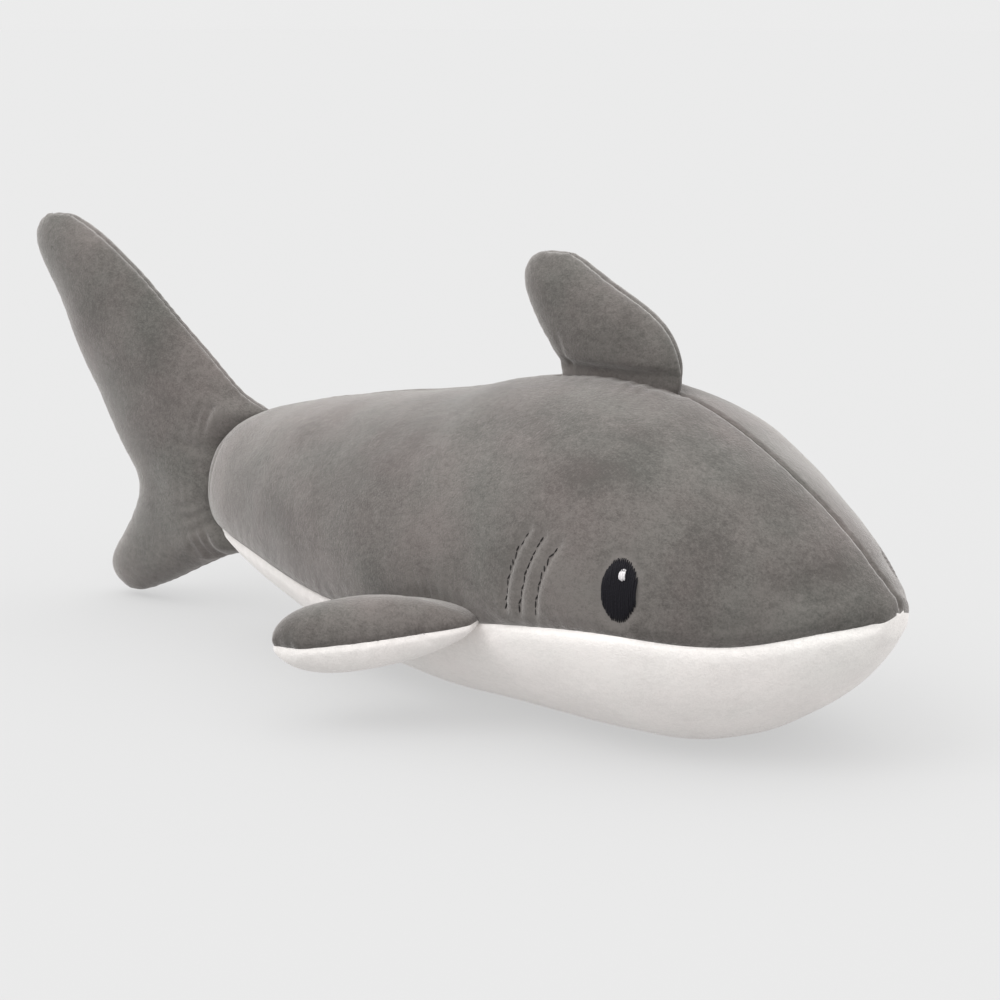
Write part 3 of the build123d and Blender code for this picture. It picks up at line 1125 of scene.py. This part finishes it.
class SHARK_OT_gills(bpy.types.Operator):
    """Sews the three dark gill lines on each side"""

    bl_idname = "shark.gills"
    bl_label = "Gills"

    def execute(self, context):
        stitch = context.scene.shark_stitch
        skin = SEWN["torso"]
        for node in nodes_like("torso", "gill_line"):
            line = centre_line(node, 2, 12)
            shape = stitch_row(line, skin, 0.8 * stitch.pitch, 0.8 * stitch.radius, 0.04 * MM, share=0.86)
            place_stitches(shape, node, "gill_thread", "torso")
        return {"FINISHED"}


def add_thread(shape, places, radius, sides=6):
    """A continuous thread through places, tapered to a point at both ends."""
    before = None
    for index, place in enumerate(places):
        along = (places[min(index + 1, len(places) - 1)] - places[max(index - 1, 0)]).normalized()
        sideways = along.orthogonal().normalized()
        upward = along.cross(sideways)
        girth = radius * (0.35 if index in (0, len(places) - 1) else 1)
        ring = []
        for side in range(sides):
            angle = 2 * math.pi * side / sides
            offset = sideways * math.cos(angle) + upward * math.sin(angle)
            ring.append(shape.verts.new(place + offset * girth))
        if before is None:
            shape.faces.new(ring[::-1])
        else:
            for side in range(sides):
                ahead = (side + 1) % sides
                shape.faces.new((before[side], before[ahead], ring[ahead], ring[side]))
        before = ring
    shape.faces.new(before)


def satin_patch(skin, node, sign, gap, radius, lift, tilt, seed):
    """Upright threads laid side by side over an oval, each from edge to edge, with uneven ends."""
    low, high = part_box(node)
    centre = (Vector(low) + Vector(high)) / 2
    half_width = (high[0] - low[0]) / 2 - radius
    half_height = (high[2] - low[2]) / 2 - radius
    shape = bmesh.new()
    rows = int(2 * half_width / gap)
    for row in range(rows + 1):
        x = -half_width + 2 * half_width * row / rows
        reach = half_height * math.sqrt(max(0.0, 1 - (x / half_width) ** 2))
        jitter = [0.06 * half_height * noise.noise(Vector((row * 1.9, seed, end))) for end in (0, 7)]
        ends = (-reach - jitter[0], reach + jitter[1])
        if ends[1] - ends[0] < 1 * MM:
            continue
        places = []
        for step in range(9):
            share = step / 8
            height = ends[0] + (ends[1] - ends[0]) * share
            sway = 0.12 * MM * noise.noise(Vector((row * 0.7, share * 3, seed)))
            aim = Vector((centre.x + x + sway + height * tilt, sign * 0.2, centre.z + height))
            spot = skin.tree.ray_cast(aim, Vector((0, -sign, 0)))[0]
            bow = lift * (1 - abs(2 * share - 1) ** 3) + 0.12 * MM * noise.noise(Vector((row, share * 2, 3)))
            places.append(spot + ACROSS * sign * bow)
        add_thread(shape, places, radius)
    return shape


class SHARK_OT_eyes(bpy.types.Operator):
    """Embroiders the dark oval eyes and their white glints"""

    bl_idname = "shark.eyes"
    bl_label = "Eyes"

    def execute(self, context):
        gap = context.scene.shark_stitch.satin_gap
        skin = SEWN["torso"]
        for side, sign in SIDES.items():
            eye = satin_patch(skin, f"{side}_eye", sign, gap, 0.36 * MM, 0.5 * MM, -0.05, 1.0 + sign)
            place_stitches(eye, f"{side}_eye", "eye_thread", "torso")
            glint = satin_patch(skin, f"{side}_eye_glint", sign, gap, 0.3 * MM, 0.9 * MM, -0.05, 4.0 + sign)
            place_stitches(glint, f"{side}_eye_glint", "glint_thread", "torso")
        return {"FINISHED"}


class SHARK_OT_fillings(bpy.types.Operator):
    """Gives the fillings inside the panels their fibre finish"""

    bl_idname = "shark.fillings"
    bl_label = "Fillings"

    def execute(self, context):
        for name, node in frame["nodes"].items():
            if name.endswith("filling"):
                for slot in node.material_slots:
                    slot.material = MATERIALS["fibre"]
        return {"FINISHED"}


class SHARK_OT_materials(bpy.types.Operator):
    """Makes the plush, thread and fibre finishes"""

    bl_idname = "shark.materials"
    bl_label = "Finishes"

    def execute(self, context):
        cloth = context.scene.shark_cloth
        MATERIALS["grey_pile"] = pile_material("grey_pile", cloth.back_colour, 0.45, 0.4)
        MATERIALS["white_pile"] = pile_material("white_pile", cloth.belly_colour, 0.07, 0.12)
        MATERIALS["eye_thread"] = thread_material("eye_thread", cloth.eye_colour, 0.55, 0.5)
        MATERIALS["glint_thread"] = thread_material("glint_thread", (0.62, 0.60, 0.61), 0.6, 0.12)
        MATERIALS["gill_thread"] = thread_material("gill_thread", (0.022, 0.020, 0.020), 0.7)
        MATERIALS["grey_thread"] = thread_material("grey_thread", (0.075, 0.068, 0.064), 0.8)
        MATERIALS["white_thread"] = thread_material("white_thread", (0.66, 0.64, 0.61), 0.7, 0.1)
        MATERIALS["fibre"] = filling_material()
        return {"FINISHED"}


# --- stage -----------------------------------------------------------------------------------


class SHARK_OT_stage(bpy.types.Operator):
    """Sets up the pale floor, the soft lights and the camera"""

    bl_idname = "shark.stage"
    bl_label = "Stage"

    def execute(self, context):
        stage = context.scene.shark_stage
        self.make_camera(context.scene, stage)
        self.make_floor(stage)
        self.make_lights(context.scene)
        context.scene.view_settings.view_transform = "Standard"
        return {"FINISHED"}

    def make_camera(self, scene, stage):
        turn, lift = stage.azimuth, stage.elevation
        back = Vector((math.sin(turn) * math.cos(lift), -math.cos(turn) * math.cos(lift), math.sin(lift)))
        right = Vector((math.cos(turn), math.sin(turn), 0))
        up = back.cross(right)
        target = right * stage.aim_right + up * stage.aim_up
        camera = bpy.data.objects.new("camera", bpy.data.cameras.new("camera"))
        camera.data.lens = stage.lens
        camera.data.clip_start = 0.01
        axes = Matrix((right, up, back)).transposed().to_4x4()
        camera.matrix_world = Matrix.Translation(target + back * stage.distance) @ axes
        scene.collection.objects.link(camera)
        scene.camera = camera

    def make_floor(self, stage):
        shape = bmesh.new()
        bmesh.ops.create_grid(shape, x_segments=1, y_segments=1, size=40)
        floor = as_piece(shape, "floor")
        shader = Shader("floor_paint")
        grain = shader.clouds(0.02, detail=3.0)
        colour = stage.floor_colour
        base = shader.blend(grain, shade(colour, 0.997), shade(colour, 1.003))
        shader.feed(shader.skin.inputs["Base Color"], base)
        shader.set(roughness=1.0)
        shader.skin.inputs["Specular IOR Level"].default_value = 0.0
        shader.skin.inputs["Emission Color"].default_value = (1, 1, 1, 1)
        shader.skin.inputs["Emission Strength"].default_value = stage.floor_glow
        floor.data.materials.append(shader.material)

    def make_lights(self, scene):
        """A sky that is as pale as the floor at the horizon and brighter overhead, and a key light."""
        world = bpy.data.worlds.new("studio")
        world.use_nodes = True
        nodes, links = world.node_tree.nodes, world.node_tree.links
        direction = nodes.new("ShaderNodeTexCoord").outputs["Generated"]
        height = nodes.new("ShaderNodeSeparateXYZ")
        links.new(direction, height.inputs[0])
        ramp = nodes.new("ShaderNodeMapRange")
        links.new(height.outputs["Z"], ramp.inputs["Value"])
        for name, number in (("From Min", 0.12), ("From Max", 1.0), ("To Min", 0.835), ("To Max", 2.6)):
            ramp.inputs[name].default_value = number
        background = nodes["Background"]
        background.inputs["Color"].default_value = (1.0, 1.0, 1.0, 1)
        links.new(ramp.outputs[0], background.inputs["Strength"])
        scene.world = world
        key = bpy.data.objects.new("key", bpy.data.lights.new("key", "SUN"))
        key.data.energy = 1.0
        key.data.angle = math.radians(35)
        key.rotation_euler = Vector((-0.35, -0.75, 1.0)).to_track_quat("Z", "Y").to_euler()
        scene.collection.objects.link(key)


# --- panel and registration ------------------------------------------------------------------


OPERATORS = (
    SHARK_OT_stage,
    SHARK_OT_materials,
    SHARK_OT_torso,
    SHARK_OT_tail,
    SHARK_OT_dorsal_fin,
    SHARK_OT_pectoral_fins,
    SHARK_OT_seam_threads,
    SHARK_OT_gills,
    SHARK_OT_eyes,
    SHARK_OT_fillings,
)
SETTINGS = {
    "shark_cloth": SharkClothSettings,
    "shark_shape": SharkShapeSettings,
    "shark_stitch": SharkStitchSettings,
    "shark_stage": SharkStageSettings,
}


class SHARK_PT_maker(bpy.types.Panel):
    """Lists the shark's pieces in the order in which they are sewn"""

    bl_idname = "SHARK_PT_maker"
    bl_label = "Plush Shark"
    bl_space_type = "VIEW_3D"
    bl_region_type = "UI"
    bl_category = "Plush Shark"

    def draw(self, context):
        for operator in OPERATORS:
            self.layout.operator(operator.bl_idname)


def register():
    for settings in SETTINGS.values():
        bpy.utils.register_class(settings)
    for name, settings in SETTINGS.items():
        setattr(bpy.types.Scene, name, bpy.props.PointerProperty(type=settings))
    for operator in OPERATORS:
        bpy.utils.register_class(operator)
    bpy.utils.register_class(SHARK_PT_maker)


def unregister():
    bpy.utils.unregister_class(SHARK_PT_maker)
    for operator in reversed(OPERATORS):
        bpy.utils.unregister_class(operator)
    for name in SETTINGS:
        delattr(bpy.types.Scene, name)
    for settings in SETTINGS.values():
        bpy.utils.unregister_class(settings)


def main():
    register()
    for operator in OPERATORS:
        family, name = operator.bl_idname.split(".")
        getattr(getattr(bpy.ops, family), name)()


if __name__ == "__main__":
    main()
